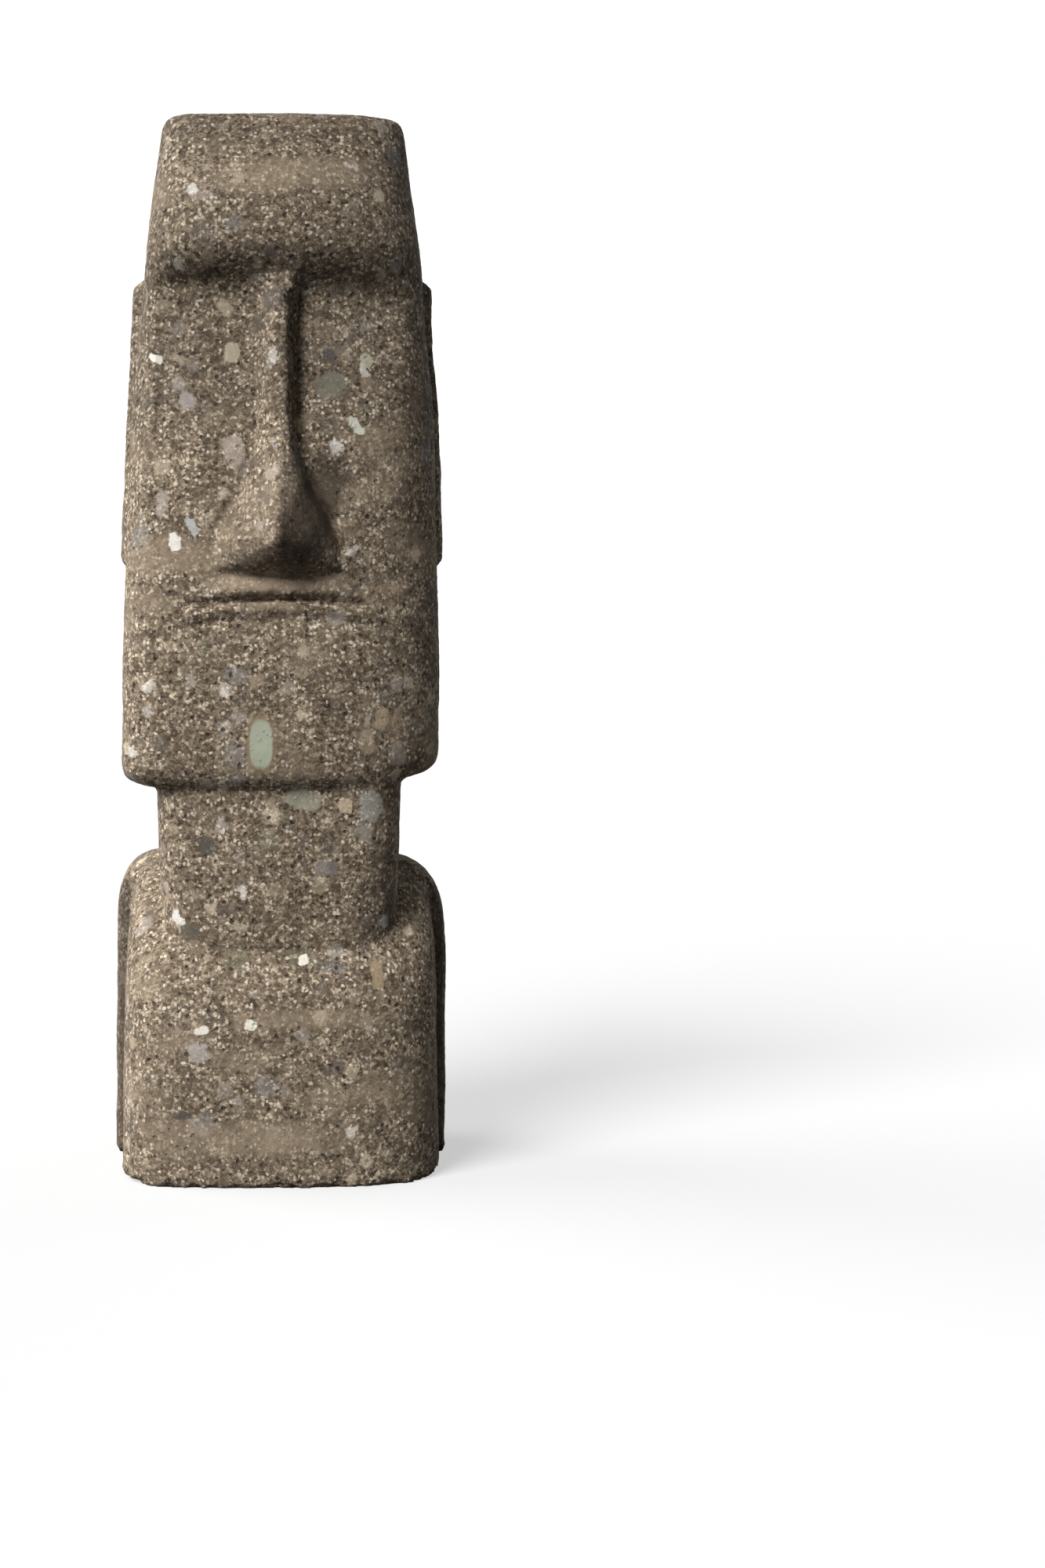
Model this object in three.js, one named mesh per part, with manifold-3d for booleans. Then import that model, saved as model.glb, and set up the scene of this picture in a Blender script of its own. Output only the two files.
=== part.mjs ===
// A moai figure carved from one block of volcanic tuff: head, neck and torso, with long ears and arms in relief.
// Units are millimetres, +Z is up and the face looks towards -Y. The origin is under the middle of the stone.
// The stone is one solid. It is built up from overlapping volumes that are joined, the mouth and the ear
// hollows are cut into it, and last the whole is pushed a little out of true, as hand carving is.
import * as THREE from "three";
import { mergeVertices } from "three/addons/utils/BufferGeometryUtils.js";
import Module from "manifold-3d";

// ---------------------------------------------------------------- driving dimensions

const HEIGHT = 301.6; // underside to crown
const BROW_Z = 260.5; // where the brow stands out most
const NOSE_TIP_Z = 178.5;
const NOSE_FOOT_Z = 169.5; // underside of the nose
const MOUTH_Z = 161.5; // middle of the mouth line
const JAW_Z = 110; // underside of the jaw
const SHOULDER_Z = 88; // top of the shoulders, beside the neck
const CHEST_TOP_Z = 63; // where the neck's front meets the chest

const JAW_HALF = 45.3; // half the width of the jaw
const CHEST_HALF = 45.4; // half the width of the chest block
const ARM_HALF = 49.3; // half the width across the arms
const CHEST_Y = -40; // front of the chest
const BACK_Y = 37; // flat of the back

// ---------------------------------------------------------------- building tools

const wasm = await Module();
wasm.setup();

// A closed three.js geometry as a solid that can be joined and cut.
function solidOf(geometry) {
  const bare = geometry.clone();
  bare.deleteAttribute("normal");
  bare.deleteAttribute("uv");
  const merged = mergeVertices(bare, 1e-4);
  const triVerts = new Uint32Array(merged.index.array);
  const vertProperties = new Float32Array(merged.attributes.position.array);
  return new wasm.Manifold(new wasm.Mesh({ numProp: 3, vertProperties, triVerts }));
}

// A solid back as a three.js geometry.
function geometryOf(solid) {
  const { vertProperties, triVerts } = solid.getMesh();
  const geometry = new THREE.BufferGeometry();
  geometry.setAttribute("position", new THREE.BufferAttribute(vertProperties, 3));
  geometry.setIndex(new THREE.BufferAttribute(triVerts, 1));
  return geometry;
}

// The closed skin over a stack of rings. Each ring runs anticlockwise, seen from the end of the stack.
function skin(rings) {
  const count = rings[0].length;
  const positions = rings.flat().flatMap((p) => [p.x, p.y, p.z]);
  const index = [];
  for (let row = 0; row < rings.length - 1; row++) {
    for (let i = 0; i < count; i++) {
      const a = row * count + i;
      const b = row * count + ((i + 1) % count);
      index.push(a, b, b + count, a, b + count, a + count);
    }
  }
  for (const [ring, turned] of [[0, true], [rings.length - 1, false]]) {
    const middle = rings[ring].reduce((sum, p) => sum.add(p), new THREE.Vector3()).divideScalar(count);
    const hub = positions.length / 3;
    positions.push(middle.x, middle.y, middle.z);
    for (let i = 0; i < count; i++) {
      const a = ring * count + i;
      const b = ring * count + ((i + 1) % count);
      index.push(...(turned ? [hub, b, a] : [hub, a, b]));
    }
  }
  const geometry = new THREE.BufferGeometry();
  geometry.setAttribute("position", new THREE.Float32BufferAttribute(positions, 3));
  geometry.setIndex(index);
  return geometry;
}

// Smooth values along a short list of rows, each [place, value, value, ...].
function along(rows) {
  const size = rows[0].length - 1;
  const places = rows.map((row) => row[0]);
  const values = rows.flatMap((row) => row.slice(1));
  const curve = new THREE.CubicInterpolant(places, values, size, new Float32Array(size));
  const [first, last] = [places[0], places[places.length - 1]];
  return (place) => Array.from(curve.evaluate(THREE.MathUtils.clamp(place, first, last)));
}

// Evenly spaced places over each [from, to, step] span.
function places(...spans) {
  return spans.flatMap(([from, to, step]) => {
    const steps = Math.round((to - from) / step);
    return Array.from({ length: steps + 1 }, (_, i) => from + ((to - from) * i) / steps);
  });
}

const power = (value, exponent) => Math.sign(value) * Math.abs(value) ** exponent;

// The front of a rounded box at x. Its squareness says how tight a corner is: 2 is an ellipse and 6 is nearly
// square. The two front corners differ, and each half of the front is turned back a little, by its slant.
const LEFT = { slant: 0.01 };
const RIGHT = { slant: 0.08 };
const BACK_SQUARENESS = 4.4;

function frontOf([half, front, back, left, right], x) {
  const share = Math.min(Math.abs(x) / half, 1);
  const [squareness, { slant }] = x < 0 ? [left, LEFT] : [right, RIGHT];
  const reach = (1 - share ** squareness) ** (1 / squareness) * (1 - slant * share);
  return (front + back) / 2 - ((back - front) / 2) * reach;
}

// A rounded box in plan at height z, drawn in by inset. Its points are spread so that corners get more of them.
function boxRing(z, [half, front, back, left, right], count, inset = 0) {
  const depth = (back - front) / 2;
  const ring = [];
  for (let i = 0; i < count; i++) {
    const turn = (2 * Math.PI * i) / count;
    const [u, v] = [power(Math.cos(turn), 0.72), power(Math.sin(turn), 0.72)];
    const squareness = v > 0 ? BACK_SQUARENESS : u < 0 ? left : right;
    const reach = (Math.abs(u) ** squareness + Math.abs(v) ** squareness) ** (-1 / squareness);
    const slant = v > 0 ? 0 : (u < 0 ? LEFT : RIGHT).slant * Math.abs(u) * reach;
    const x = (half - inset) * u * reach;
    const y = (front + back) / 2 + (depth - inset) * v * reach * (1 - slant);
    ring.push(new THREE.Vector3(x, y, z));
  }
  return ring;
}

// A stack of rounded boxes between two heights, with its lower and upper edges rounded over.
function block({ profile, from, to, levels, lowerRound, upperRound, count }) {
  const quarter = places([0, 90, 22.5]).map((degrees) => THREE.MathUtils.degToRad(degrees));
  const lower = quarter.map((turn) => [
    from + lowerRound * (1 - Math.cos(turn)),
    lowerRound * (1 - Math.sin(turn)),
  ]);
  const upper = quarter.map((turn) => [
    to - upperRound * (1 - Math.sin(turn)),
    upperRound * (1 - Math.cos(turn)),
  ]);
  const inside = levels
    .filter((z) => z > from + lowerRound + 1 && z < to - upperRound - 1)
    .map((z) => [z, 0]);
  return skin([...lower, ...inside, ...upper].map(([z, inset]) => boxRing(z, profile(z), count, inset)));
}

// A slab standing off the stone's side, as a stack of rounded boxes from [height, outer x, inset] levels.
function slab({ side, levels, frontY, backY, deep, edge, count }) {
  const [middle, half] = [(frontY + backY) / 2, (backY - frontY) / 2];
  return skin(
    levels.map(([z, outer, inset]) =>
      places([0, 360 - 360 / count, 360 / count]).map((degrees) => {
        const turn = THREE.MathUtils.degToRad(degrees);
        const x = outer - inset - deep + deep * power(Math.cos(turn), edge);
        const y = (half - inset) * power(Math.sin(turn), edge);
        return new THREE.Vector3(side * x, side * y + middle, z);
      }),
    ),
  );
}

// ---------------------------------------------------------------- the head

// Rows are height, half-width, front, back and the squareness of the left and right front corners. The face leans
// forward from the eyes to the chin, the brow stands over the eyes, and the forehead slopes back to a flat crown.
const headProfile = along([
  [JAW_Z, JAW_HALF + 0.4, -39.2, 32, 6.5, 2.7],
  [JAW_Z + 12, JAW_HALF + 0.3, -39.9, 33, 6.5, 2.7],
  [JAW_Z + 40, JAW_HALF, -39.7, 34, 6.4, 2.7],
  [JAW_Z + 66, 44.8, -38.4, 35, 6, 2.8],
  [208, 44, -36.4, 35, 5.6, 3.2],
  [224, 42.9, -34.2, 34.5, 5.2, 3.8],
  [238, 41.8, -32.2, 33.6, 5, 4],
  [247, 41, -31.4, 33, 5, 4],
  [BROW_Z - 8, 40.6, -32.4, 32.6, 4.8, 3.6],
  [BROW_Z - 4, 40.2, -36.6, 32.2, 4.6, 3],
  [BROW_Z, 39.7, -38.9, 31.6, 4.5, 2.8],
  [BROW_Z + 10, 38.7, -38.4, 30.4, 4.4, 2.7],
  [281, 37.4, -35.6, 28.6, 4.4, 2.7],
  [292, 35.9, -30.4, 26, 5.2, 3.6],
  [HEIGHT, 34.8, -24.9, 23, 6.5, 4.8],
]);

function head() {
  return block({
    profile: headProfile,
    from: JAW_Z,
    to: HEIGHT,
    levels: places([118, 238, 8], [243, 265, 2], [271, 297, 5]),
    lowerRound: 4.4,
    upperRound: 3.2,
    count: 44,
  });
}

const faceY = (x, z) => frontOf(headProfile(z), x);

// ---------------------------------------------------------------- the nose

// Rows are height, x of the left and the right foot, x and y of the ridge, and how full the left and the right
// flank are: 1 is a straight slope, and more is a flat top with a steep side. The bridge's right flank is steep
// all the way down, and the left one is soft.
const noseProfile = along([
  [NOSE_FOOT_Z, -19.6, 19.2, -0.2, -41, 1.8, 1.6],
  [NOSE_FOOT_Z + 3, -20.2, 19.9, -0.1, -46.5, 1.6, 1.3],
  [NOSE_TIP_Z - 2.5, -20.4, 19.8, 0, -51.8, 1.4, 1.1],
  [NOSE_TIP_Z, -20, 19.2, 0, -53.4, 1.25, 1],
  [NOSE_TIP_Z + 4, -18.6, 17.4, 0.1, -53, 1.2, 1],
  [190, -14.4, 13.6, 0.2, -50.2, 1.25, 1.1],
  [199, -10.9, 9.6, 0.3, -46.6, 1.4, 1.4],
  [208, -8.9, 6.6, 0.2, -44, 1.7, 2.4],
  [222, -8, 5.2, -0.4, -41.2, 2, 4],
  [240, -7.8, 5.2, -0.3, -38, 2, 4],
  [BROW_Z - 10, -7.6, 5.2, 0, -36.2, 2, 4],
  [BROW_Z - 6, -7.2, 5, 0, -34.2, 2, 3],
]);
const NOSE_LET_IN = 1.8; // how far the nose's feet sink into the face
const NOSE_ROOT = 9; // how far its body reaches behind the face

function nose() {
  const levels = places([NOSE_FOOT_Z, 184, 1.8], [188, 208, 4], [214, 242, 7], [246, BROW_Z - 6, 2.8]);
  return skin(
    levels.map((z) => {
      const [leftX, rightX, ridgeX, ridgeY, left, right] = noseProfile(z);
      const section = places([-1, 1, 1 / 6]).map((share) => {
        const [reach, fullness] = share < 0 ? [ridgeX - leftX, left] : [rightX - ridgeX, right];
        const x = ridgeX + reach * share;
        const foot = faceY(x, z) + NOSE_LET_IN;
        return new THREE.Vector3(x, foot - (1 - Math.abs(share) ** fullness) * (foot - ridgeY), z);
      });
      const root = faceY(0, z) + NOSE_ROOT;
      return [...section, new THREE.Vector3(rightX, root, z), new THREE.Vector3(leftX, root, z)];
    }),
  );
}

// ---------------------------------------------------------------- the mouth

// A groove that follows the curve of the face: a thin wedge, deepest in the middle and running out at its ends.
// Its middle is higher than its ends by bow.
function groove({ z: level, half, deep, tall, bow }) {
  return skin(
    places([-1, 1, 0.1]).map((share) => {
      const x = half * share;
      const z = level + bow * (0.5 - share * share);
      const y = faceY(x, z);
      const fade = Math.sqrt(1.02 - share * share);
      const rise = (tall / 2) * fade;
      return [
        new THREE.Vector3(x, y - 1, z - 1.6 * rise),
        new THREE.Vector3(x, y + deep * fade, z - 0.4 * rise),
        new THREE.Vector3(x, y + deep * fade, z + 0.4 * rise),
        new THREE.Vector3(x, y - 1, z + 1.6 * rise),
      ];
    }),
  );
}

const mouth = () => groove({ z: MOUTH_Z, half: 24, deep: 1.6, tall: 1.9, bow: 2 });
const lipCrease = () => groove({ z: MOUTH_Z - 5.6, half: 27, deep: 0.5, tall: 1.6, bow: 0.6 });

// ---------------------------------------------------------------- the ears

const EAR_FRONT_Y = -2;
const EAR_BACK_Y = 15;
const EAR_FROM_Z = 172.5;
const EAR_TO_Z = 257.6;

// Rows are height and outer x: the ear flares from its top to its lobe.
const earOuter = along([
  [EAR_FROM_Z, 47.9],
  [186, 47.8],
  [200, 47.4],
  [210, 47],
  [216, 46.5],
  [222, 46.1],
  [240, 45.1],
  [252, 44.8],
  [EAR_TO_Z, 44.4],
]);

// A long slab on each side of the head, wider in the lobe than above it.
function ear(side) {
  const end = [[0, 2.6], [0.8, 1.2], [2.8, 0]]; // how the ends round off: distance in from the end, and inset
  const lower = end.map(([rise, inset]) => [EAR_FROM_Z + rise, inset]);
  const upper = end.map(([drop, inset]) => [EAR_TO_Z - drop, inset]).reverse();
  const between = places([184, 250, 6.6]).map((z) => [z, 0]);
  return slab({
    side,
    levels: [...lower, ...between, ...upper].map(([z, inset]) => [z, earOuter(z)[0], inset]),
    frontY: EAR_FRONT_Y,
    backY: EAR_BACK_Y,
    deep: 8,
    edge: 0.45,
    count: 20,
  });
}

const HOLLOW = { fromZ: 205, toZ: 250, deep: 1.4, half: 4.8 };

// The shallow hollow in the upper part of each ear, which leaves a rim round it and a plain lobe below.
function earHollow(side) {
  const { fromZ, toZ, deep, half } = HOLLOW;
  const middle = (EAR_FRONT_Y + EAR_BACK_Y) / 2;
  return skin(
    places([fromZ, toZ, (toZ - fromZ) / 12]).map((z) => {
      const share = (2 * (z - fromZ)) / (toZ - fromZ) - 1;
      const open = Math.sqrt(1.03 - share * share);
      return places([0, 330, 30]).map((degrees) => {
        const turn = THREE.MathUtils.degToRad(degrees);
        const reach = Math.cos(turn) > 0 ? 2 : deep * open;
        const x = earOuter(z)[0] + reach * power(Math.cos(turn), 0.8);
        return new THREE.Vector3(side * x, side * half * open * Math.sin(turn) + middle, z);
      });
    }),
  );
}

// ---------------------------------------------------------------- the neck

// Rows as for the head. The neck narrows downwards and its front is nearly flat.
const neckProfile = along([
  [CHEST_TOP_Z - 25, 30.2, -31, 28, 4.6, 4],
  [CHEST_TOP_Z, 32.2, -33.4, 28, 5, 4.2],
  [CHEST_TOP_Z + 20, 34.2, -34.6, 27, 5.4, 4.8],
  [JAW_Z - 8, 34.9, -35.2, 27, 6, 5.6],
  [JAW_Z + 8, 34.9, -35.2, 28, 6, 5.6],
]);

function neck() {
  const levels = places([CHEST_TOP_Z - 25, JAW_Z + 8, 9]);
  return skin(levels.map((z) => boxRing(z, neckProfile(z), 40)));
}

// ---------------------------------------------------------------- the torso

// Rows as for the head. The chest is upright and turns over into sloping shoulders.
const torsoProfile = along([
  [0, CHEST_HALF + 0.3, CHEST_Y, BACK_Y, 5.8, 3.8],
  [34, CHEST_HALF, CHEST_Y, BACK_Y, 5.4, 3.6],
  [48, CHEST_HALF - 0.1, CHEST_Y + 0.5, BACK_Y - 0.4, 4.8, 3.4],
  [55, CHEST_HALF - 0.2, CHEST_Y + 2, BACK_Y - 1, 4.6, 3.4],
  [61, CHEST_HALF - 0.4, CHEST_Y + 5, BACK_Y - 1.5, 4.4, 3.5],
  [67, CHEST_HALF - 0.7, CHEST_Y + 10.4, BACK_Y - 2, 4.2, 3.6],
  [73, CHEST_HALF - 1.2, CHEST_Y + 17, BACK_Y - 2.6, 4, 3.7],
  [79, CHEST_HALF - 2.2, CHEST_Y + 25, BACK_Y - 3.6, 4, 3.8],
  [85, CHEST_HALF - 5, CHEST_Y + 33, BACK_Y - 5.4, 4, 4],
  [SHOULDER_Z, CHEST_HALF - 9, CHEST_Y + 42, BACK_Y - 8, 4, 4],
]);

function torso() {
  return block({
    profile: torsoProfile,
    from: 0,
    to: SHOULDER_Z,
    levels: places([9, 45, 9], [50, 89, 3]),
    lowerRound: 1,
    upperRound: 1,
    count: 44,
  });
}

// ---------------------------------------------------------------- the arms

const ARM_FRONT_Y = 2;
const ARM_BACK_Y = 27;

// Rows are height, outer x and inset: upright from the base, then rounded over the shoulder.
const armLevels = [
  [0, ARM_HALF, 1],
  [1, ARM_HALF, 0],
  [20, ARM_HALF, 0],
  [42, ARM_HALF, 0],
  [SHOULDER_Z - 24, ARM_HALF, 0],
  [SHOULDER_Z - 17, ARM_HALF - 0.2, 0],
  [SHOULDER_Z - 13, ARM_HALF - 0.6, 0],
  [SHOULDER_Z - 7.7, ARM_HALF - 2.2, 0],
  [SHOULDER_Z - 4.8, ARM_HALF - 4, 0],
  [SHOULDER_Z - 2.8, ARM_HALF - 6, 0],
  [SHOULDER_Z - 1, ARM_HALF - 9, 0],
  [SHOULDER_Z + 0.3, ARM_HALF - 12.8, 0.4],
];

// An upright band on each side of the torso, from the base to the top of the shoulder.
function arm(side) {
  return slab({
    side,
    levels: armLevels,
    frontY: ARM_FRONT_Y,
    backY: ARM_BACK_Y,
    deep: 12,
    edge: 0.36,
    count: 20,
  });
}

// ---------------------------------------------------------------- out of true

// How far the carving strays from a true form: it leans a little to the right as it rises, the neck stands to the
// left of that, the head is fuller on its right side, the shoulders fall from left to right, and the jaw's underside
// lifts at its right corner.
const LEAN = 0.6;
const NECK_SHIFT = -0.7;
const CHEEK_FULLNESS = 0.8;
const SHOULDER_FALL = 1.1;
const JAW_LIFT = 3.2;

function handCarved(point) {
  const { smoothstep } = THREE.MathUtils;
  const { x, y, z } = point;
  const shoulder = smoothstep(z, 55, 82) * (1 - smoothstep(z, 92, JAW_Z));
  const throat = smoothstep(z, 60, 90) * (1 - smoothstep(z, JAW_Z - 6, JAW_Z + 12));
  const jaw = smoothstep(z, 100, JAW_Z) * (1 - smoothstep(z, JAW_Z, JAW_Z + 24));
  const cheek = smoothstep(z, JAW_Z - 4, JAW_Z + 4) * (1 - smoothstep(y, -12, EAR_FRONT_Y));
  const right = smoothstep(x, 24, JAW_HALF);
  point.x += LEAN * (z / HEIGHT) + NECK_SHIFT * throat + CHEEK_FULLNESS * cheek * right;
  point.z += JAW_LIFT * jaw * right - SHOULDER_FALL * shoulder * (x / ARM_HALF);
}

// ---------------------------------------------------------------- the carving as one stone

const volumes = [head(), nose(), neck(), torso(), ear(-1), ear(1), arm(-1), arm(1)];
const cuts = [mouth(), lipCrease(), earHollow(-1), earHollow(1)];
const joined = volumes.map(solidOf).reduce((stone, volume) => stone.add(volume));
const carved = cuts.map(solidOf).reduce((stone, cut) => stone.subtract(cut), joined);

const geometry = geometryOf(carved);
const corners = geometry.attributes.position;
const corner = new THREE.Vector3();
for (let i = 0; i < corners.count; i++) {
  handCarved(corner.fromBufferAttribute(corners, i));
  corners.setXYZ(i, corner.x, corner.y, corner.z);
}
geometry.computeVertexNormals();
geometry.computeBoundingBox();

const tuff = new THREE.MeshStandardMaterial({ color: 0x71675a, roughness: 0.92, metalness: 0 });
const stone = new THREE.Mesh(geometry, tuff);
stone.name = "moai_figure";
const { min, max } = geometry.boundingBox;
stone.position.set(-(min.x + max.x) / 2, -(min.y + max.y) / 2, -min.z);

const figure = new THREE.Group();
figure.add(stone);

export default figure;
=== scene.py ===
import math
from collections import namedtuple

import bpy
import numpy as np
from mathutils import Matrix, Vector


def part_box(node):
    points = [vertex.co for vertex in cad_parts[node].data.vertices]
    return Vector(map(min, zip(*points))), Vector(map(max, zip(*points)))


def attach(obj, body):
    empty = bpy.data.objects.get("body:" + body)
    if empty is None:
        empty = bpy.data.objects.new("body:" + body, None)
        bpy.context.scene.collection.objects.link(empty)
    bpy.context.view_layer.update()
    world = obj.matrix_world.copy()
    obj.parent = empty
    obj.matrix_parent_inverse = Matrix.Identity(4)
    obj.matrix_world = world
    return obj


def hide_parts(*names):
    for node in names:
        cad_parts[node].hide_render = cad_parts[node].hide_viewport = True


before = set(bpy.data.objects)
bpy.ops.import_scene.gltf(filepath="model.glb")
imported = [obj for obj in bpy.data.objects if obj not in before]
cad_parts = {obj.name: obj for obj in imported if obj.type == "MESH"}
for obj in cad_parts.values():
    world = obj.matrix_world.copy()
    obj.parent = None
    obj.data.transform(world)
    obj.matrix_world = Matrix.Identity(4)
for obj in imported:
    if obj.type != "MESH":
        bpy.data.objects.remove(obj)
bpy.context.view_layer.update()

# ------------------------------------------------------------------ the roughed-out block
# The figure is one piece of volcanic tuff, sawn flat underneath and carved in the round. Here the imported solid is
# copied and given an even skin of small faces, and its flats are rubbed down, while carved edges stay crisp.

MM = 0.001  # the script's own lengths are millimetres; the frame is in metres
SKIN_STEP = 0.85  # spacing of the skin's points
RUB_ROUNDS = 50  # how long the flats are rubbed down
CRISP_BEND = 0.968  # a surface that turns this much keeps its edge
FLAT_BEND = 0.991  # and one that turns this little is rubbed in full
BROW_EDGE_Z = 257

stone_low, stone_high = (np.array(corner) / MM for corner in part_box("moai_figure"))
NOSE_TIP_Y = stone_low[1]  # the nose stands out further than anything else


def plain_mesh(piece, name):
    """What the piece's modifiers make, as an object of its own; the piece goes."""
    depsgraph = bpy.context.evaluated_depsgraph_get()
    mesh = bpy.data.meshes.new_from_object(piece.evaluated_get(depsgraph))
    made = bpy.data.objects.new(name, mesh)
    bpy.context.scene.collection.objects.link(made)
    bpy.data.objects.remove(piece)
    return made


def points_of(mesh):
    """The mesh's points in millimetres."""
    flat = np.zeros(len(mesh.vertices) * 3, np.float32)
    mesh.vertices.foreach_get("co", flat)
    return flat.reshape(-1, 3).astype(float) / MM


def set_points(mesh, points):
    mesh.vertices.foreach_set("co", (points * MM).astype(np.float32).ravel())
    mesh.update()


def normals_of(mesh):
    flat = np.zeros(len(mesh.vertices) * 3, np.float32)
    mesh.vertex_normals.foreach_get("vector", flat)
    return flat.reshape(-1, 3).astype(float)


def edges_of(mesh):
    flat = np.zeros(len(mesh.edges) * 2, np.int32)
    mesh.edges.foreach_get("vertices", flat)
    return flat.reshape(-1, 2).T


def rub(values, edges, rounds, share=0.5):
    """Evens values out between neighbouring points; share is how much of the way each point goes in a round."""
    start, end = edges
    count = len(values)
    neighbours = np.bincount(start, minlength=count) + np.bincount(end, minlength=count)
    share = np.broadcast_to(share, count)[:, None]
    for _ in range(rounds):
        total = np.stack(
            [np.bincount(start, v[end], count) + np.bincount(end, v[start], count) for v in values.T], axis=1
        )
        values = values + share * (total / neighbours[:, None] - values)
    return values


def ease(value, start, end):
    """0 before start, 1 after end and a smooth rise between them; start may be the greater."""
    share = np.clip((value - start) / (end - start), 0, 1)
    return share * share * (3 - 2 * share)


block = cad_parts["moai_figure"].copy()
block.data = block.data.copy()
block.parent = None
bpy.context.scene.collection.objects.link(block)
weld = block.modifiers.new("weld", "WELD")
weld.merge_threshold = 0.01 * MM
skin = block.modifiers.new("skin", "REMESH")
skin.mode = "VOXEL"
skin.voxel_size = SKIN_STEP * MM
stone = plain_mesh(block, "moai_stone")
mesh = stone.data
mesh.polygons.foreach_set("use_smooth", [True] * len(mesh.polygons))

points = points_of(mesh)
edges = edges_of(mesh)
bend = np.linalg.norm(rub(normals_of(mesh), edges, 6), axis=1)  # 1 on a flat, and less where the surface turns
flats = ease(bend, CRISP_BEND, FLAT_BEND)
brow_edge = ease(np.abs(points[:, 2] - BROW_EDGE_Z), 9, 3) * ease(points[:, 1], -14, -22)
flats = np.maximum(flats, 0.75 * brow_edge)  # the brow's lower edge is rubbed round as well
points = rub(points, edges, RUB_ROUNDS, 0.5 * flats)
set_points(mesh, np.clip(points, stone_low, stone_high))

# ------------------------------------------------------------------ the carved face
# The face is cut with a chisel and a rasp: a hollow for the eyes, a nose that is undercut on one side, and lips on
# both sides of a mouth line. Each cut moves the front of the stone back, by a depth in millimetres.

EYES_FROM_Z, EYES_TO_Z = 206, 251
EYES_HALF = 34.6
MOUTH_Z = 161.8
MOUTH_HALF = 24
MOUTH_BOW = 1.6  # how far the mouth line's middle stands above its ends
JAW_Z = 110


def path_distance(x, z, path):
    """How far each point is from a line through the path's (x, z) corners, and how far along it, from 0 to 1."""
    path = np.array(path, float)
    lengths = np.linalg.norm(np.diff(path, axis=0), axis=1)
    done = np.concatenate([[0], np.cumsum(lengths)]) / lengths.sum()
    nearest = np.full(len(x), np.inf)
    share = np.zeros(len(x))
    for (x0, z0), (x1, z1), begin, end in zip(path, path[1:], done, done[1:]):
        along = ((x - x0) * (x1 - x0) + (z - z0) * (z1 - z0)) / ((x1 - x0) ** 2 + (z1 - z0) ** 2)
        along = np.clip(along, 0, 1)
        away = np.hypot(x - x0 - along * (x1 - x0), z - z0 - along * (z1 - z0))
        closer = away < nearest
        nearest = np.where(closer, away, nearest)
        share = np.where(closer, begin + along * (end - begin), share)
    return nearest, share


def furrow(x, z, path, wide, deep, ends):
    """A rounded cut along a path, running out over the given share of its length at each end."""
    away, share = path_distance(x, z, path)
    fade = ease(share, 0, ends) * ease(share, 1, 1 - ends)
    return deep * fade * np.exp(-((away / wide) ** 2))


x, y, z = points.T
normals = normals_of(mesh)
facing = ease(-normals[:, 1], 0.05, 0.4) * ease(y, 4, -6)
cut = np.zeros(len(x))

# the hollow for the eyes, with a firm edge under the brow and beside the temples
temple = ease(-x, EYES_HALF + 1.4, EYES_HALF - 1.4) * ease(x, EYES_HALF + 1, EYES_HALF - 6)
beside_nose = ease(-x, 7, 10) + ease(x, 4, 5.5)
height = ease(z, EYES_TO_Z + 4, EYES_TO_Z - 1) * ease(z, EYES_FROM_Z, EYES_FROM_Z + 28)
cut += 1.3 * temple * beside_nose * height

# the bridge is undercut all down its right side, and has a light crease down its left
RIGHT_OF_NOSE = [(3.3, 249), (3.9, 238), (4.2, 222), (4.6, 208), (6.5, 200), (9.9, 191), (13.8, 184.5)]
RIGHT_OF_NOSE.append((17.6, 174))
LEFT_OF_NOSE = [(-7.6, 214), (-9.7, 199.5), (-11.7, 192.6), (-15.3, 187), (-18.2, 181.5), (-18.4, 172)]
UNDER_NOSE = [(-18, 169.8), (-8, 169.6), (10, 169.6), (18.4, 170.2)]
cut += furrow(x, z, RIGHT_OF_NOSE, wide=1.5, deep=4.2, ends=0.03)
cut += furrow(x, z, LEFT_OF_NOSE, wide=1.1, deep=0.9, ends=0.15)
cut += furrow(x, z, UNDER_NOSE, wide=1.1, deep=1.2, ends=0.05)

# the mouth line, arched up in its middle and a little unsteady, with a lip above it, one below it and a crease
across = ease(np.abs(x + 1.5), 29, 25)
bow = MOUTH_BOW * (1 - (x / MOUTH_HALF) ** 2)
waver = 0.22 * np.sin(1.1 * x) + 0.15 * np.sin(2.3 * x + 1)
level = z - MOUTH_Z - bow + MOUTH_BOW / 2 + waver


def ridge_at(level, middle, wide):
    """1 along a level line and less above and below it."""
    return np.exp(-(((level - middle) / wide) ** 2))


cut += across * 1.25 * ridge_at(level, 0, 0.8)
cut -= ease(np.abs(x), MOUTH_HALF, MOUTH_HALF / 2) * 1.5 * ridge_at(level, 2.6, 2.4)
cut -= across * 0.8 * ridge_at(level, -2.3, 1.5)
cut += across * 0.7 * ridge_at(level, -5.6, 1.4)

# the crease between the neck and the chest
cut += furrow(x, z, [(-24, 65.6), (2, 64.3), (27, 65.2)], wide=0.9, deep=0.8, ends=0.2)

y = y + cut * facing

# the nose's ridge leans a little to the left towards its tip
ridge = np.exp(-(((x - 1.5) / 6) ** 2)) * ease(z, 172, 180) * ease(z, 216, 200) * ease(y, -36, -42)
x = x - 1.5 * ridge

# the jaw's lower left corner is knocked off a little
corner = ease(-x, 35, 44) * ease(z, 117, JAW_Z + 1) * ease(y, 25, 0)
z = z + 0.8 * corner
x = x + 0.3 * corner

points = np.stack([x, y, z], axis=1)
set_points(mesh, np.clip(points, stone_low, stone_high))

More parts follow.
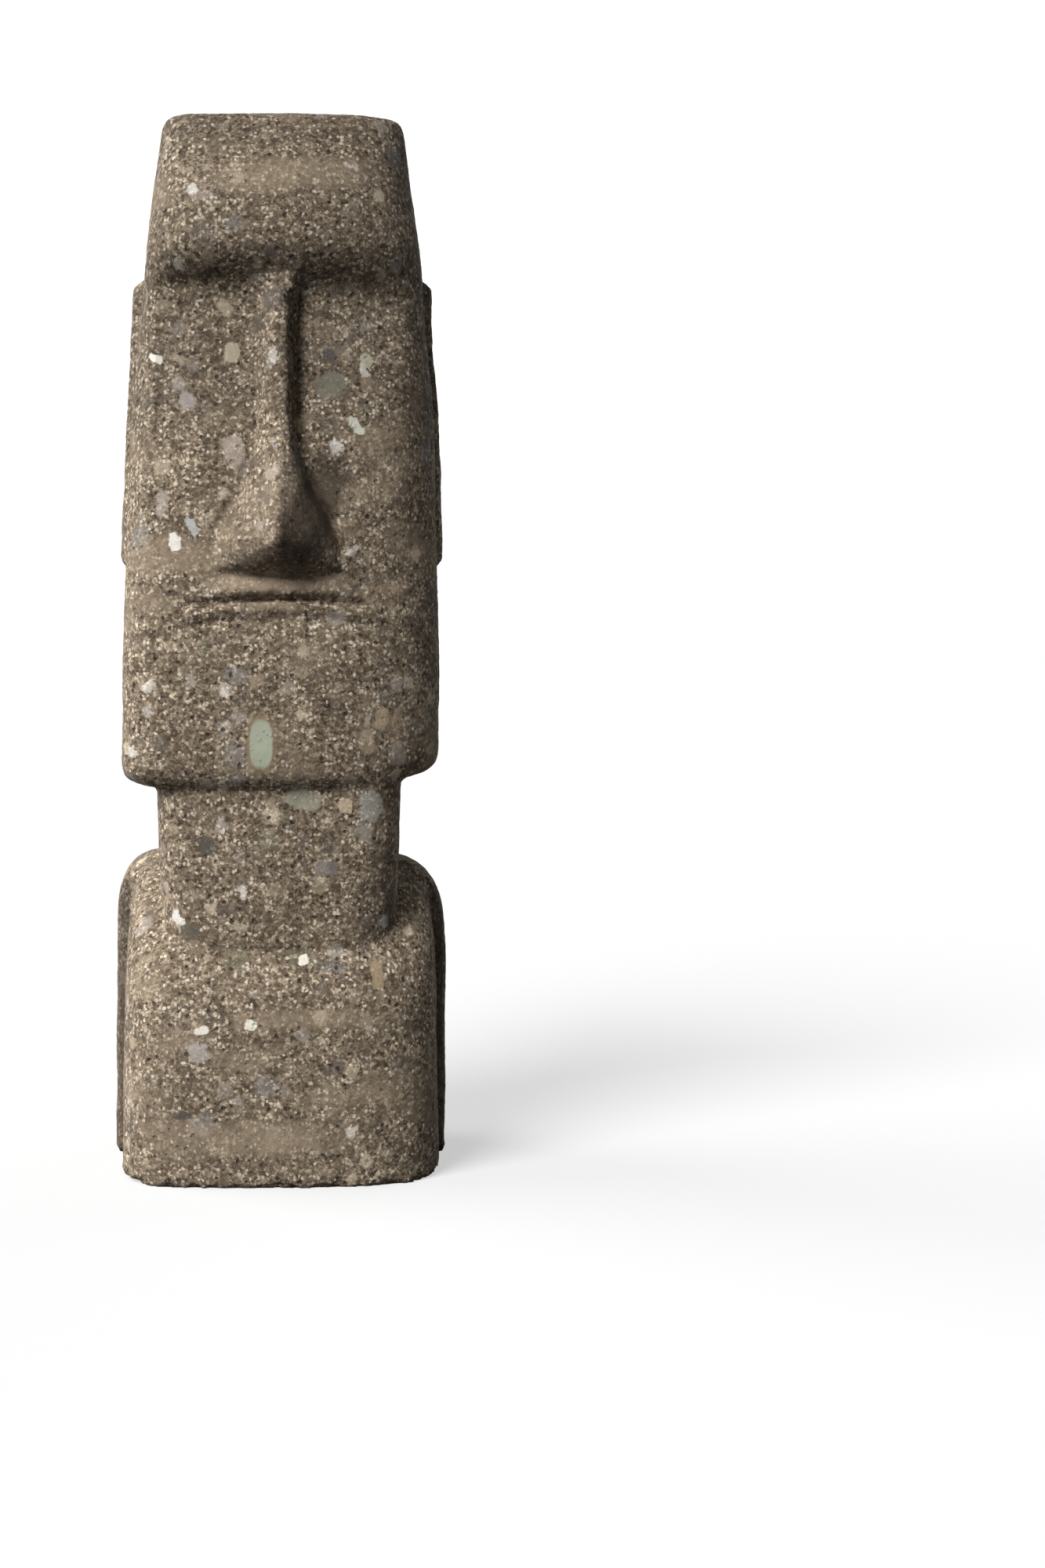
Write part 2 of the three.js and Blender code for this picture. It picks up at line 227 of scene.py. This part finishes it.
# ------------------------------------------------------------------ the tuff
# Lapilli tuff: a brown ashy matrix with pale grains, dark grains and small pits all through it, and larger bits
# of cream, white, grey and olive stone. It is left dry and unpolished.


class Flow:
    """One output socket in a node tree. Arithmetic on it adds Math nodes to that tree."""

    def __init__(self, socket):
        self.socket = socket

    @staticmethod
    def node(tree, kind, settings=None, output=0, **inputs):
        """Adds a node, sets its settings, then the values or links of its sockets, and returns one output."""
        made = tree.nodes.new(kind)
        for name, value in (settings or {}).items():
            if name == "stops":
                ramp = made.color_ramp
                while len(ramp.elements) < len(value):
                    ramp.elements.new(1)
                for element, (place, colour) in zip(ramp.elements, value):
                    element.position = place
                    element.color = colour
            else:
                setattr(made, name, value)
        for name, value in inputs.items():
            place = int(name[1:]) if name[1:].isdigit() else name.replace("_", " ")
            socket = made.inputs[place]
            if isinstance(value, Flow):
                tree.links.new(value.socket, socket)
            else:
                socket.default_value = value
        return Flow(made.outputs[output])

    @property
    def tree(self):
        return self.socket.id_data

    def maths(self, operation, first, second=0.0, third=0.0, clamp=False):
        kind = "ShaderNodeMath"
        settings = {"operation": operation, "use_clamp": clamp}
        return Flow.node(self.tree, kind, settings, i0=first, i1=second, i2=third)

    def __add__(self, other):
        return self.maths("ADD", self, other)

    __radd__ = __add__

    def __sub__(self, other):
        return self.maths("SUBTRACT", self, other)

    def __rsub__(self, other):
        return self.maths("SUBTRACT", other, self)

    def __mul__(self, other):
        return self.maths("MULTIPLY", self, other)

    __rmul__ = __mul__

    def __rtruediv__(self, other):
        return self.maths("DIVIDE", other, self)

    def __pow__(self, other):
        return self.maths("POWER", self, other)

    def rise(self, start, end):
        """0 at start, 1 at end, straight between and held outside; start may be the greater."""
        return self.maths("MULTIPLY_ADD", self, 1 / (end - start), -start / (end - start), clamp=True)


def moved(place, shift, by=1.0):
    """A vector moved along another one."""
    tree = place.tree
    scaled = Flow.node(tree, "ShaderNodeVectorMath", {"operation": "SCALE"}, i0=shift, Scale=by)
    return Flow.node(tree, "ShaderNodeVectorMath", {"operation": "ADD"}, i0=place, i1=scaled)


def cloud(place, size, detail, roughness, output=0):
    """Cloudy noise whose largest lumps are about size millimetres across."""
    scale = 1 / size
    return Flow.node(
        place.tree, "ShaderNodeTexNoise", {}, output, Vector=place, Scale=scale, Detail=detail, Roughness=roughness
    )


def wandering(place, size, detail, by):
    """A place that wanders off by a share of a cloud's size, to make outlines ragged."""
    shift = moved(cloud(place, size, detail, 0.7, output=1), (-0.5, -0.5, -0.5))
    return moved(place, shift, by)


def split(vector):
    parts = Flow.node(vector.tree, "ShaderNodeSeparateXYZ", i0=vector)
    return [Flow(out) for out in parts.socket.node.outputs]


Grain = namedtuple("Grain", "near tone tint luck")


def cells(place, size):
    """Grains packed side by side, about size across: how far each one's middle is, and three random numbers."""
    kind = "ShaderNodeTexVoronoi"
    near = Flow.node(place.tree, kind, {"feature": "F1"}, Vector=place, Scale=1 / size, Randomness=1.0)
    return Grain(near, *split(Flow(near.socket.node.outputs["Color"])))


def mix(mask, under, over):
    """Colour over laid on colour under where the mask is 1."""
    return Flow.node(mask.tree, "ShaderNodeMix", {"data_type": "RGBA"}, 2, i0=mask, i6=under, i7=over)


def by_chance(chance, first, others):
    """The first colour, then each other one from where the chance passes its two limits."""
    colour = first
    for start, end, other in others:
        colour = mix(chance.rise(start, end), colour, other)
    return colour


def display(red, green, blue):
    """A colour given as 0-255 display values, as the shader's linear one."""
    shares = [value / 255 for value in (red, green, blue)]
    return tuple(v / 12.92 if v <= 0.04045 else ((v + 0.055) / 1.055) ** 2.4 for v in shares) + (1.0,)


# the colour of the shade painted on the nose's right wing, beside the foot of the neck and in front of both arms
PAINTED_SHADE = display(52, 43, 34)
DUST = display(146, 130, 110)
CREAM = display(196, 181, 158)
BONE = display(222, 212, 196)
WHITE = display(228, 224, 217)
PALE_GREY = display(160, 152, 143)
BLUE_GREY = display(120, 119, 119)
OLIVE = display(101, 99, 82)
DARK_GREY = display(84, 77, 72)
GREEN = display(152, 156, 138)

tuff = bpy.data.materials.new("tuff")
tuff.use_nodes = True
tree = tuff.node_tree
tree.nodes.clear()
metres = Flow.node(tree, "ShaderNodeTexCoord", {}, 3)
place = Flow.node(tree, "ShaderNodeVectorMath", {"operation": "SCALE"}, i0=metres, Scale=1 / MM)

# grains are broken shards of many sizes, so each size is laid out on a place that wanders a little
ragged = wandering(place, 1.0, 3, 1.3)
loose = wandering(place, 2.6, 4, 4.5)
broad = cloud(place, 13, 5, 0.6)
crowding = cloud(moved(place, (31, 17, 5)), 8, 4, 0.6)
fine = cloud(place, 0.9, 4, 0.85)
dust = cells(ragged, 0.55)
grain = cells(moved(ragged, (9, 4, 2)), 1.0)
shard = cells(moved(ragged, (5, 14, 8)), 1.9)
speckle = dust.tone * 0.36 + grain.tone * 0.42 + shard.tone * 0.18 + (fine - 0.5) * 0.5
speckle = speckle + (crowding - 0.5) * 0.2 + (broad - 0.5) * 0.12
speckle = 0.5 + (speckle - 0.5) * 0.8
SPECKLE_COLOURS = [
    (0.12, display(44, 36, 28)),
    (0.30, display(74, 63, 51)),
    (0.46, display(97, 85, 70)),
    (0.60, display(121, 108, 91)),
    (0.72, display(152, 138, 120)),
    (0.84, display(190, 176, 156)),
    (1.00, display(222, 212, 196)),
]
colour = Flow.node(tree, "ShaderNodeValToRGB", {"stops": SPECKLE_COLOURS}, i0=speckle)

# small bright crystals
crystal = cells(moved(ragged, (40, 2, 7)), 1.1)
pale = (crystal.tone + (crowding - 0.5) * 0.5).rise(0.78, 0.84) * crystal.near.rise(0.55, 0.4)
colour = mix(pale * 0.6, colour, mix(crystal.tint.rise(0.3, 1.0), CREAM, BONE))

# larger bits and lumps of other stone, half lost in the matrix
bit = cells(moved(loose, (2, 8, 5)), 4.4)
BIT_COLOURS = [(0.34, 0.36, PALE_GREY), (0.55, 0.57, DUST), (0.76, 0.78, CREAM), (0.94, 0.95, WHITE)]
bits = bit.tone.rise(0.80, 0.81) * bit.near.rise(0.62, 0.42) * bit.luck.rise(-0.4, 1.0)
colour = mix(bits * 0.6, colour, by_chance(bit.tint, DARK_GREY, BIT_COLOURS))

lump = cells(moved(loose, (21, 3, 14)), 9)
LUMP_COLOURS = [(0.3, 0.34, OLIVE), (0.56, 0.6, BLUE_GREY), (0.85, 0.88, PALE_GREY)]
lumps = lump.tone.rise(0.86, 0.87) * lump.near.rise(0.45, 0.3)
colour = mix(lumps * 0.4, colour, by_chance(lump.tint, DARK_GREY, LUMP_COLOURS))

# pits where grains have fallen out
pit = cells(moved(ragged, (3, 11, 5)), 2.1)
pits = pit.tone.rise(0.74, 0.80) * pit.near.rise(0.34, 0.16)
colour = mix(pits * 0.8, colour, display(38, 31, 24))

# a skin of dust in patches hides the grains
flattened = Flow.node(
    tree, "ShaderNodeVectorMath", {"operation": "MULTIPLY"}, i0=moved(place, (11, 3, 60)), i1=(0.6, 0.6, 1.5)
)
dusty = cloud(flattened, 22, 4, 0.55).rise(0.54, 0.70)
colour = mix(dusty * 0.65, colour, mix(fine.rise(0.3, 0.7), display(118, 104, 87), display(142, 127, 108)))

# the colour is made darker in the hollow under the brow, on the forehead and most of all on the crown
across_x, out_y, up_z = split(place)
hollow = up_z.rise(200, 222) * up_z.rise(266, 254)
tone_by_height = 1.24 - hollow * 0.34 - up_z.rise(254, 266) * 0.22 - up_z.rise(284, 299) * 0.24
colour = Flow.node(tree, "ShaderNodeVectorMath", {"operation": "SCALE"}, i0=colour, Scale=tone_by_height)

# the patches and bits that show on the front, each with its own place and size in millimetres and turn in degrees
jagged_x, _, jagged_z = split(wandering(place, 2.2, 4, 3.2))
front = out_y.rise(-6, -14)


def spot(x, z, wide, high, turn=0, smooth=False, soft=0.25):
    """1 inside a rounded-off box on the figure's front; smooth keeps its outline even, soft spreads its edge."""
    a = math.radians(turn)
    from_x = (across_x if smooth else jagged_x) - x
    from_z = (up_z if smooth else jagged_z) - z
    sideways = (from_x * math.cos(a) + from_z * math.sin(a)) * (2 / wide)
    upright = (from_z * math.cos(a) - from_x * math.sin(a)) * (2 / high)
    away = (sideways * sideways) ** 1.4 + (upright * upright) ** 1.4
    return away.rise(1 + soft, 1 - soft) * front


Patch = namedtuple("Patch", "x z wide high turn soft share colour")
PATCHES = [
    Patch(-2, 184, 34, 34, 0, 0.6, 0.3, display(118, 105, 90)),
    Patch(2.6, 281, 46, 9, 4, 0.95, 0.45, DUST),
    Patch(0, 167.2, 38, 4.5, 0, 0.6, 0.55, DUST),
    Patch(7, 46.5, 40, 5, 0, 0.9, 0.5, DUST),
    Patch(-9, 14, 52, 9, 0, 0.9, 0.5, DUST),
    Patch(13.9, 222.5, 8.7, 7.6, 10, 0.25, 0.8, display(104, 102, 88)),
    Patch(21.0, 211.0, 2.6, 5.5, 35, 0.25, 0.85, display(200, 199, 184)),
    Patch(-13.7, 231.8, 4.5, 5.5, 0, 0.25, 0.7, display(168, 158, 138)),
    Patch(-35.3, 230.5, 4.4, 2.0, -25, 0.25, 0.8, display(222, 215, 205)),
    Patch(-13.0, 203.8, 6.0, 9.0, 15, 0.25, 0.6, display(172, 158, 148)),
    Patch(-24.7, 182.8, 2.4, 5.5, 30, 0.25, 0.85, display(178, 180, 174)),
    Patch(-29.5, 178.5, 3.2, 5.0, 10, 0.25, 0.95, display(225, 220, 210)),
    Patch(23.8, 229.6, 3.6, 4.2, 0, 0.25, 0.8, display(166, 162, 142)),
    Patch(-26.2, 218.0, 4.6, 4.6, 0, 0.25, 0.75, display(152, 144, 142)),
    Patch(13.4, 231.0, 4.0, 3.6, 0, 0.25, 0.8, display(68, 66, 68)),
    Patch(-2.0, 246.5, 7.0, 5.0, 20, 0.25, 0.5, display(84, 80, 78)),
    Patch(24.9, 105.0, 6.5, 8.7, 0, 0.25, 0.6, display(168, 166, 158)),
    Patch(6.3, 107.0, 10.0, 5.5, -15, 0.25, 0.7, display(150, 149, 132)),
    Patch(18.0, 105.0, 4.0, 4.0, 0, 0.25, 0.8, display(190, 172, 146)),
    Patch(-20.8, 94.2, 5.0, 5.0, 0, 0.25, 0.8, display(80, 76, 72)),
    Patch(12.4, 87.7, 6.0, 4.0, 0, 0.25, 0.7, display(122, 115, 111)),
    Patch(28.0, 129.5, 4.0, 6.0, -20, 0.25, 0.85, display(172, 152, 126)),
    Patch(-25.4, 69.9, 5.6, 4.5, 0, 0.25, 0.8, display(90, 86, 74)),
    Patch(6.3, 62.1, 3.0, 3.0, 0, 0.25, 0.95, display(225, 218, 205)),
    Patch(26.9, 57.8, 3.4, 7.6, 10, 0.25, 0.8, display(156, 136, 110)),
    Patch(-8.2, 45.0, 3.6, 2.6, 0, 0.25, 0.95, display(228, 222, 208)),
    Patch(-22.0, 43.3, 4.6, 2.2, 20, 0.25, 0.95, display(222, 216, 204)),
    Patch(-23.0, 37.4, 5.6, 5.6, 0, 0.25, 0.75, display(164, 158, 150)),
    Patch(-27.3, 20.0, 5.2, 2.4, 0, 0.25, 0.8, display(78, 74, 70)),
]
for patch in PATCHES:
    inside = spot(patch.x, patch.z, patch.wide, patch.high, patch.turn, soft=patch.soft)
    colour = mix(inside * patch.share, colour, patch.colour)

# Painted dark in place of shade that the studio's lights don't give: the nose's right wing, beside the foot of the
# neck, and in front of both arms. It isn't known to be dirt, and it stays dark under any other light.
colour = mix(spot(9, 187, 13, 34, -22, soft=0.5) * 0.75, colour, PAINTED_SHADE)
colour = mix(spot(34, 76, 8, 16, -10, soft=0.6) * 0.6, colour, PAINTED_SHADE)
from_middle = Flow.node(tree, "ShaderNodeMath", {"operation": "ABSOLUTE"}, i0=across_x)
shade_before_arms = from_middle.rise(43.6, 44.8) * out_y.rise(2, 6) * out_y.rise(20, 12) * up_z.rise(86, 76)
colour = mix(shade_before_arms * 0.75, colour, PAINTED_SHADE)

# a smooth green pebble in the chin, with a brown rim
PEBBLE_X, PEBBLE_Z = -5.5, 122.6
rim = spot(PEBBLE_X, PEBBLE_Z, 8.4, 16, smooth=True, soft=0.3)
colour = mix(rim * 0.7, colour, display(128, 110, 87))
colour = mix(spot(PEBBLE_X, PEBBLE_Z, 6.2, 13.2, smooth=True), colour, GREEN)
pebble = spot(PEBBLE_X, PEBBLE_Z, 7, 14.5, smooth=True, soft=0.3)

RELIEF = 0.34  # height of the grains, in millimetres
height = (speckle * 0.9 - pits * 1.2) * (1 - pebble) + pebble * 0.6 + bits * 0.3
height = height + pale * 0.3 + cloud(place, 2.6, 4, 0.65) * 0.5
bump = Flow.node(tree, "ShaderNodeBump", {}, Strength=1.0, Distance=RELIEF * MM, Height=height)
shader = Flow.node(tree, "ShaderNodeBsdfPrincipled", {}, Base_Color=colour, Roughness=0.9, Normal=bump)
shader.socket.node.inputs["Specular IOR Level"].default_value = 0.25


def end_in(tree, kind, socket, flow):
    """Adds a tree's output node and leads a flow into one of its sockets."""
    tree.links.new(flow.socket, tree.nodes.new(kind).inputs[socket])


end_in(tree, "ShaderNodeOutputMaterial", "Surface", shader)

# ------------------------------------------------------------------ the weathered surface
# The carving is not dressed smooth: it waves a little under the hand, has shallow dents and grit, and its edges are
# chipped. Geometry Nodes move the skin along its normals, and the mesh is then thinned to its final size.

EDGE_ROUNDS = 14  # rubbing for this long takes most off the sharp edges, which finds them
MOST_TRIANGLES = 190000
SOLE_HEIGHT = 0.7  # points lower than this lie flat on the ground

rubbed = rub(points_of(mesh), edges, EDGE_ROUNDS)
sharp = -np.sum((rubbed - points_of(mesh)) * normals_of(mesh), axis=1)
edge = mesh.attributes.new("edge", "FLOAT", "POINT")
edge.data.foreach_set("value", ease(sharp, 0.1, 0.5).astype(np.float32))

weather = bpy.data.node_groups.new("weathered surface", "GeometryNodeTree")
SURFACE = {
    "Wave size": 26.0,
    "Wave height": 0.5,
    "Dent size": 7.0,
    "Dent depth": 0.5,
    "Grain size": 1.9,
    "Grain height": 0.3,
    "Chip size": 5.0,
    "Chip depth": 1.1,
}
weather.interface.new_socket("Geometry", in_out="INPUT", socket_type="NodeSocketGeometry")
for name in SURFACE:
    weather.interface.new_socket(name, in_out="INPUT", socket_type="NodeSocketFloat")
weather.interface.new_socket("Geometry", in_out="OUTPUT", socket_type="NodeSocketGeometry")
given = Flow.node(weather, "NodeGroupInput").socket.node.outputs
size = {name: Flow(given[name]) for name in SURFACE}
here = Flow.node(weather, "GeometryNodeInputPosition")
here_mm = Flow.node(weather, "ShaderNodeVectorMath", {"operation": "SCALE"}, i0=here, Scale=1 / MM)
out_of = Flow.node(weather, "GeometryNodeInputNormal")
on_edge = Flow.node(weather, "GeometryNodeInputNamedAttribute", {"data_type": "FLOAT"}, Name="edge")


def swell(place, size, detail, roughness):
    """Noise from about -1 to 1 whose lumps are size across."""
    return (cloud(place, size, detail, roughness) - 0.5) * 3


wave = swell(here_mm, size["Wave size"], 2.0, 0.5) * size["Wave height"]
dent = swell(moved(here_mm, (50, 20, 9)), size["Dent size"], 4.0, 0.6).rise(0.0, 1.1) * size["Dent depth"]
grit = swell(here_mm, size["Grain size"], 3.0, 0.65) * size["Grain height"] * 0.5
chip = swell(moved(here_mm, (7, 70, 30)), size["Chip size"], 4.0, 0.6).rise(-0.2, 0.7)
chip = chip * on_edge * size["Chip depth"]
rise = wave + grit - dent - chip - size["Wave height"] * 0.4
shift = Flow.node(weather, "ShaderNodeVectorMath", {"operation": "SCALE"}, i0=out_of, Scale=rise * MM)
moved_skin = Flow.node(weather, "GeometryNodeSetPosition", {}, Geometry=Flow(given["Geometry"]), Offset=shift)
solid = Flow.node(weather, "GeometryNodeRealizeInstances", {}, Geometry=moved_skin)
coloured = Flow.node(weather, "GeometryNodeSetMaterial", {}, Geometry=solid, Material=tuff)
end_in(weather, "NodeGroupOutput", "Geometry", coloured)

weathering = stone.modifiers.new("weathering", "NODES")
weathering.node_group = weather
for item in weather.interface.items_tree:
    if item.in_out == "INPUT" and item.name in SURFACE:
        weathering[item.identifier] = SURFACE[item.name]
thinned = stone.modifiers.new("thinned", "DECIMATE")
thinned.ratio = MOST_TRIANGLES / (2 * len(mesh.polygons))
stone = plain_mesh(stone, "moai_stone")
mesh = stone.data
mesh.polygons.foreach_set("use_smooth", [True] * len(mesh.polygons))
points = points_of(mesh)
points[points[:, 2] < SOLE_HEIGHT, 2] = 0.0
set_points(mesh, np.clip(points, stone_low, stone_high))

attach(stone, "root")
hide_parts("moai_figure")

# ------------------------------------------------------------------ the studio
# A white floor that runs out of sight under a white room, three large soft lights, and a camera level with the middle
# of the figure. The floor sends little light back to the figure, whatever the camera sees of it.

FLOOR_HALF = 60.0  # metres
bpy.ops.mesh.primitive_plane_add(size=2 * FLOOR_HALF)
floor = bpy.context.object
floor.name = "floor"
paper = bpy.data.materials.new("paper")
paper.use_nodes = True
paper.node_tree.nodes.clear()
seen = Flow.node(paper.node_tree, "ShaderNodeLightPath", {}, 0)
dim = Flow.node(paper.node_tree, "ShaderNodeBsdfDiffuse", {}, Color=(0.1, 0.1, 0.1, 1))
lit = Flow.node(paper.node_tree, "ShaderNodeBsdfDiffuse", {}, Color=(0.3, 0.3, 0.3, 1))
own = Flow.node(paper.node_tree, "ShaderNodeEmission", {}, Color=(1, 1, 1, 1), Strength=0.52)
bright = Flow.node(paper.node_tree, "ShaderNodeAddShader", {}, i0=lit, i1=own)
both = Flow.node(paper.node_tree, "ShaderNodeMixShader", {}, i0=seen, i1=dim, i2=bright)
end_in(paper.node_tree, "ShaderNodeOutputMaterial", "Surface", both)
floor.data.materials.append(paper)

world = bpy.data.worlds.new("white room")
world.use_nodes = True
bpy.context.scene.world = world
sky = world.node_tree
sky.nodes.clear()
seen = Flow.node(sky, "ShaderNodeLightPath", {}, 0)
strength = 0.13 + seen * 0.99
glow = Flow.node(sky, "ShaderNodeBackground", {}, Color=(1, 1, 1, 1), Strength=strength)
end_in(sky, "ShaderNodeOutputWorld", "Surface", glow)


def sun(name, azimuth, elevation, strength, spread):
    """A soft distant light. Azimuth is degrees to the left of the camera's side, seen from the figure."""
    lamp = bpy.data.lights.new(name, "SUN")
    lamp.energy = strength
    lamp.angle = math.radians(spread)
    holder = bpy.data.objects.new(name, lamp)
    bpy.context.scene.collection.objects.link(holder)
    a, e = math.radians(azimuth), math.radians(elevation)
    towards = Vector((-math.sin(a) * math.cos(e), -math.cos(a) * math.cos(e), math.sin(e)))
    holder.rotation_euler = towards.to_track_quat("Z", "Y").to_euler()


sun("key light", 39, 40, 1.6 * math.pi, 30)
sun("side light", 104, 22, 1.0 * math.pi, 46)
sun("back light", -140, 20, 0.2 * math.pi, 50)

CAMERA_AWAY = 600  # from the chest's front to the lens
CHEST_BACK = 13.4  # the chest's front is this far behind the nose tip
CAMERA_Z = 148.8

lens = bpy.data.cameras.new("camera")
lens.lens = 50
lens.sensor_width = 36
lens.shift_x = 0.154
lens.shift_y = -0.086
camera = bpy.data.objects.new("camera", lens)
bpy.context.scene.collection.objects.link(camera)
camera.location = (0, (NOSE_TIP_Y + CHEST_BACK - CAMERA_AWAY) * MM, CAMERA_Z * MM)
camera.rotation_euler = (math.radians(90), 0, 0)
bpy.context.scene.camera = camera
bpy.context.scene.view_settings.view_transform = "Standard"
